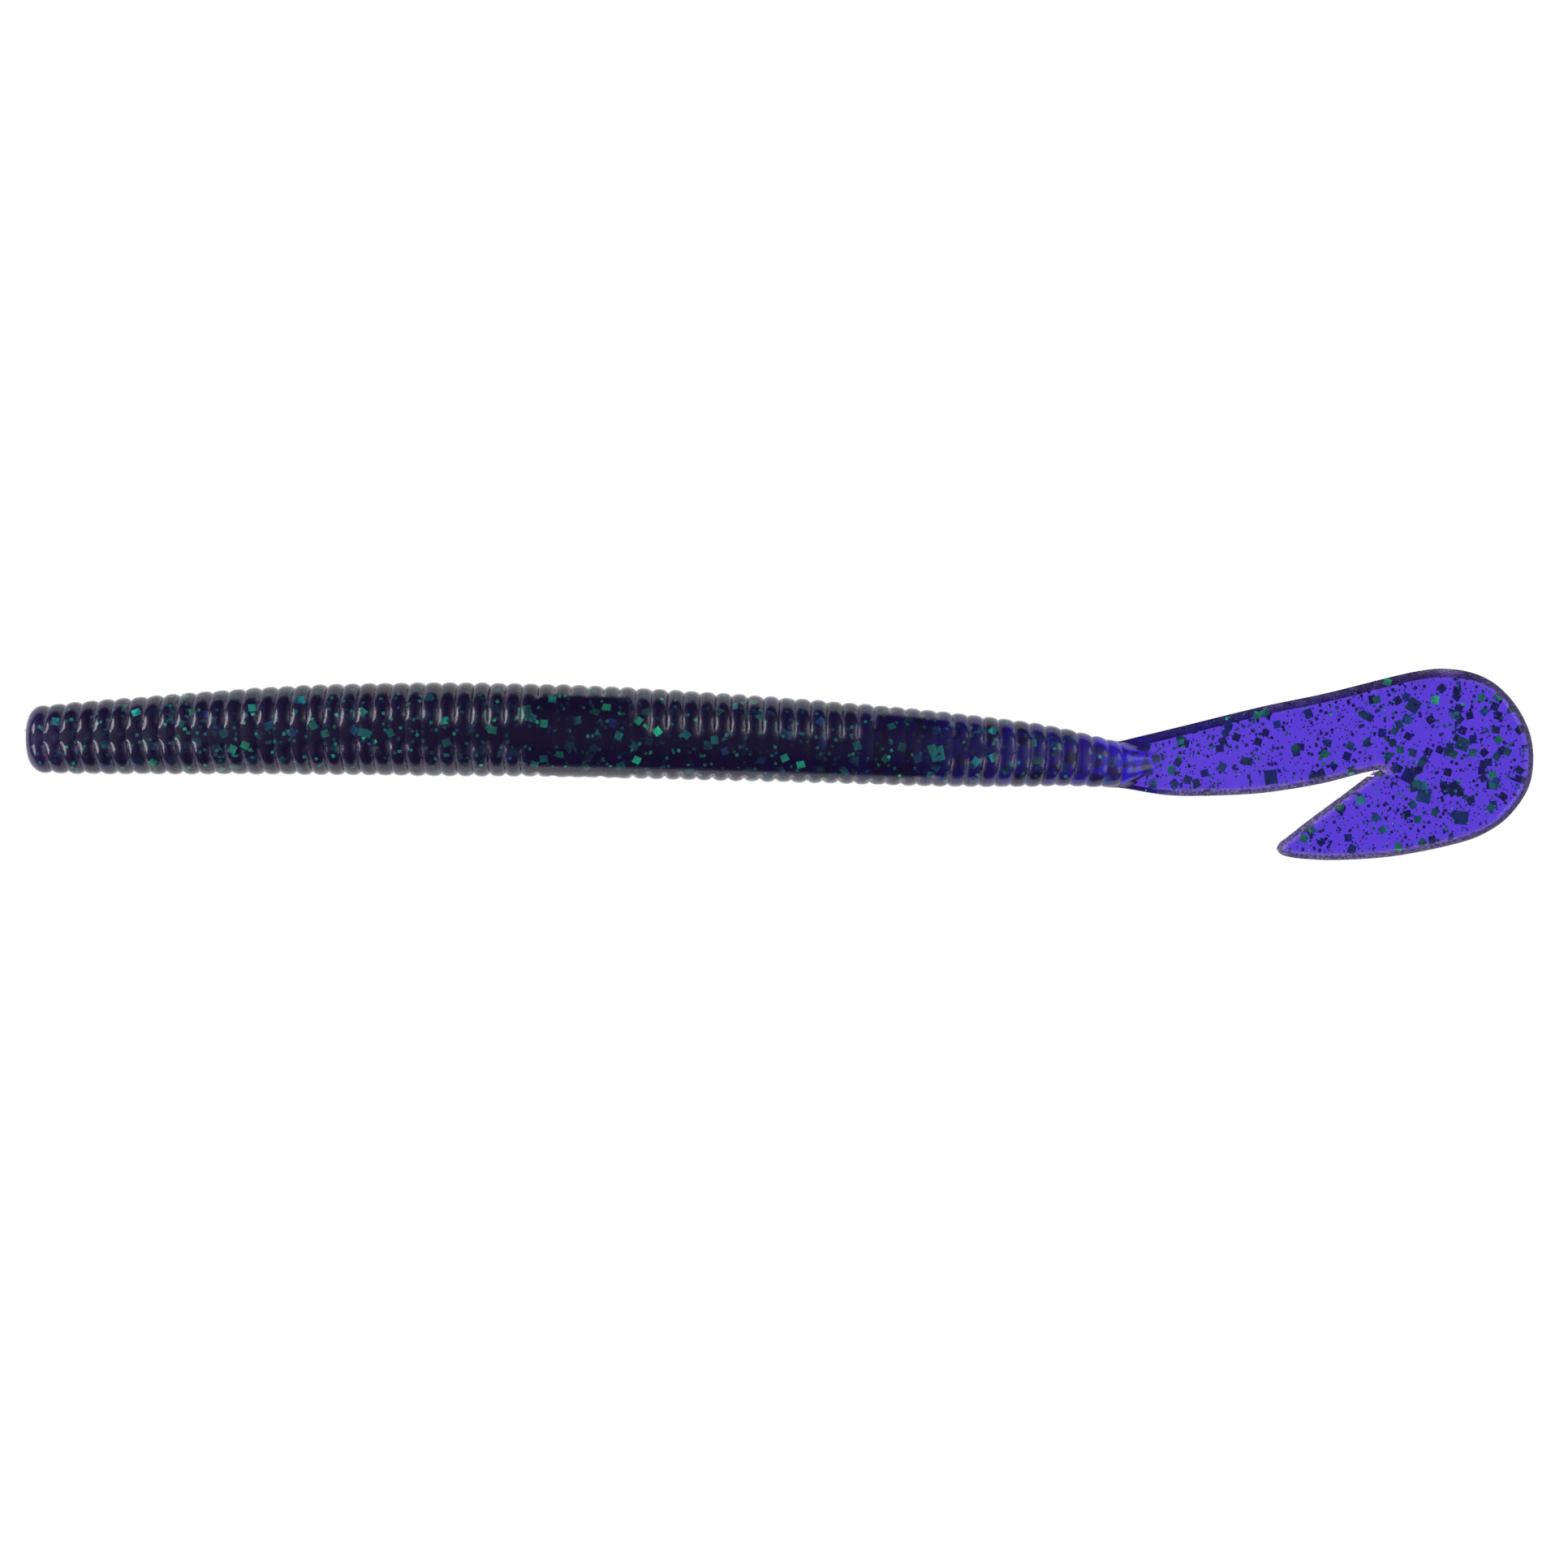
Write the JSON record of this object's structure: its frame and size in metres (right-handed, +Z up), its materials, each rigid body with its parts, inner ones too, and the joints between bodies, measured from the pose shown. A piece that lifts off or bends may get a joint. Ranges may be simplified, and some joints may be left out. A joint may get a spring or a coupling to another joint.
{
  "type": "soft plastic worm",
  "caption": "Ribbed, flexible fishing worm with a blunt nose, tapering body and flat hook-shaped swimming tail; translucent plastic with glitter cast in.",
  "frame": {"origin": "middle of the worm's length and width, on the surface it lies on", "axes": "+X from nose to tail, +Y across the flat of the tail towards the stem's side, +Z up, square to the flat of the tail"},
  "size_m": [0.1715, 0.0219, 0.0107],
  "materials": {
    "thick_violet_plastisol": "glossy translucent violet plastisol, near black where the body is thick",
    "thin_violet_plastisol": "glossy translucent bright violet plastisol in the thin tail, frosted along its bevelled edges",
    "glitter_foil": "square cut metallised polyester film, emerald green to teal"
  },
  "bodies": {
    "nose": {"nose": "thick_violet_plastisol", "glitter_nose_1": "glitter_foil", "glitter_nose_2": "glitter_foil"},
    "ring_segment_01": {"ring_segment_01": "thick_violet_plastisol", "glitter_ring_segment_01_1": "glitter_foil", "glitter_ring_segment_01_2": "glitter_foil"},
    "ring_segment_02": {"ring_segment_02": "thick_violet_plastisol", "glitter_ring_segment_02_1": "glitter_foil", "glitter_ring_segment_02_2": "glitter_foil"},
    "ring_segment_03": {"ring_segment_03": "thick_violet_plastisol", "glitter_ring_segment_03_1": "glitter_foil", "glitter_ring_segment_03_2": "glitter_foil"},
    "ring_segment_04": {"ring_segment_04": "thick_violet_plastisol", "glitter_ring_segment_04_1": "glitter_foil", "glitter_ring_segment_04_2": "glitter_foil"},
    "ring_segment_05": {"ring_segment_05": "thick_violet_plastisol", "glitter_ring_segment_05_1": "glitter_foil", "glitter_ring_segment_05_2": "glitter_foil", "glitter_ring_segment_05_3": "glitter_foil"},
    "ring_segment_06": {"ring_segment_06": "thick_violet_plastisol", "glitter_ring_segment_06_1": "glitter_foil", "glitter_ring_segment_06_2": "glitter_foil"},
    "ring_segment_07": {"ring_segment_07": "thick_violet_plastisol", "glitter_ring_segment_07_1": "glitter_foil", "glitter_ring_segment_07_2": "glitter_foil"},
    "ring_segment_08": {"ring_segment_08": "thick_violet_plastisol", "glitter_ring_segment_08_1": "glitter_foil", "glitter_ring_segment_08_2": "glitter_foil"},
    "ring_segment_09": {"ring_segment_09": "thick_violet_plastisol", "glitter_ring_segment_09_1": "glitter_foil", "glitter_ring_segment_09_2": "glitter_foil"},
    "ring_segment_10": {"ring_segment_10": "thick_violet_plastisol", "glitter_ring_segment_10_1": "glitter_foil", "glitter_ring_segment_10_2": "glitter_foil"},
    "tail_root": {"tail_root": "thick_violet_plastisol", "glitter_tail_root_1": "glitter_foil", "glitter_tail_root_2": "glitter_foil"},
    "tail_stem": {"tail_stem": "thin_violet_plastisol", "glitter_tail_stem_1": "glitter_foil", "glitter_tail_stem_2": "glitter_foil"},
    "tail_blade": {"tail_blade": "thin_violet_plastisol", "glitter_tail_blade_1": "glitter_foil", "glitter_tail_blade_2": "glitter_foil", "glitter_tail_blade_3": "glitter_foil"},
    "tail_end": {"tail_end": "thin_violet_plastisol", "glitter_tail_end_1": "glitter_foil", "glitter_tail_end_2": "glitter_foil"},
    "hook_base": {"hook_base": "thin_violet_plastisol", "glitter_hook_base_1": "glitter_foil"},
    "hook_tip": {"hook_tip": "thin_violet_plastisol", "glitter_hook_tip_1": "glitter_foil"}
  },
  "joints": [
    {"name": "head_curl_1", "type": "hinge", "parent": "ring_segment_01", "child": "nose", "pos_m": [-0.07558, 0.00314, 0.00433], "axis": [0, 0, -1], "range_deg": [-15, 15], "stiffness_Nm_per_rad": 0.0016},
    {"name": "head_curl_2", "type": "hinge", "parent": "ring_segment_02", "child": "ring_segment_01", "pos_m": [-0.0644, 0.00357, 0.00479], "axis": [0, 0, -1], "range_deg": [-15, 15], "stiffness_Nm_per_rad": 0.0024},
    {"name": "head_lift", "type": "hinge", "parent": "ring_segment_03", "child": "ring_segment_02", "pos_m": [-0.05329, 0.00388, 0.00515], "axis": [0, 1, 0], "range_deg": [0, 15], "stiffness_Nm_per_rad": 0.0033},
    {"name": "neck_curl_1", "type": "hinge", "parent": "ring_segment_04", "child": "ring_segment_03", "pos_m": [-0.04226, 0.00395, 0.00534], "axis": [0, 0, -1], "range_deg": [-15, 15], "stiffness_Nm_per_rad": 0.0038},
    {"name": "neck_curl_2", "type": "hinge", "parent": "ring_segment_05", "child": "ring_segment_04", "pos_m": [-0.03129, 0.00388, 0.00536], "axis": [0, 0, -1], "range_deg": [-15, 15], "stiffness_Nm_per_rad": 0.0039},
    {"name": "mid_curl_1", "type": "hinge", "parent": "ring_segment_05", "child": "ring_segment_06", "pos_m": [-0.0204, 0.00363, 0.00526], "axis": [0, 0, 1], "range_deg": [-15, 15], "stiffness_Nm_per_rad": 0.0036},
    {"name": "mid_lift", "type": "hinge", "parent": "ring_segment_06", "child": "ring_segment_07", "pos_m": [-0.00957, 0.00319, 0.00508], "axis": [0, -1, 0], "range_deg": [0, 15], "stiffness_Nm_per_rad": 0.0031},
    {"name": "mid_curl_2", "type": "hinge", "parent": "ring_segment_07", "child": "ring_segment_08", "pos_m": [0.00118, 0.00268, 0.00483], "axis": [0, 0, 1], "range_deg": [-15, 15], "stiffness_Nm_per_rad": 0.0025},
    {"name": "rear_curl_1", "type": "hinge", "parent": "ring_segment_08", "child": "ring_segment_09", "pos_m": [0.01186, 0.00209, 0.00453], "axis": [0, 0, 1], "range_deg": [-15, 15], "stiffness_Nm_per_rad": 0.0019},
    {"name": "rear_lift", "type": "hinge", "parent": "ring_segment_09", "child": "ring_segment_10", "pos_m": [0.0207, 0.00153, 0.00419], "axis": [0, -1, 0], "range_deg": [0, 15], "stiffness_Nm_per_rad": 0.0017},
    {"name": "rear_curl_2", "type": "hinge", "parent": "ring_segment_10", "child": "tail_root", "pos_m": [0.0295, 0.00097, 0.00358], "axis": [0, 0, 1], "range_deg": [-15, 15], "stiffness_Nm_per_rad": 0.00088},
    {"name": "tail_flap_1", "type": "hinge", "parent": "tail_root", "child": "tail_stem", "pos_m": [0.046, 0, 0.00176], "axis": [0, -1, 0], "range_deg": [0, 30], "stiffness_Nm_per_rad": 0.000039},
    {"name": "tail_flap_2", "type": "hinge", "parent": "tail_stem", "child": "tail_blade", "pos_m": [0.056, 0, 0.0009], "axis": [0, -1, 0], "range_deg": [0, 30], "stiffness_Nm_per_rad": 0.000039},
    {"name": "tail_flap_3", "type": "hinge", "parent": "tail_blade", "child": "tail_end", "pos_m": [0.075, 0, 0.0009], "axis": [0, -1, 0], "range_deg": [0, 30], "stiffness_Nm_per_rad": 0.000078},
    {"name": "hook_flap_1", "type": "hinge", "parent": "tail_blade", "child": "hook_base", "pos_m": [0.0665, 0, 0.0009], "axis": [0, 1, 0], "range_deg": [0, 30], "stiffness_Nm_per_rad": 0.000044},
    {"name": "hook_flap_2", "type": "hinge", "parent": "hook_base", "child": "hook_tip", "pos_m": [0.061, 0, 0.0009], "axis": [0, 1, 0], "range_deg": [0, 30], "stiffness_Nm_per_rad": 0.000036}
  ]
}
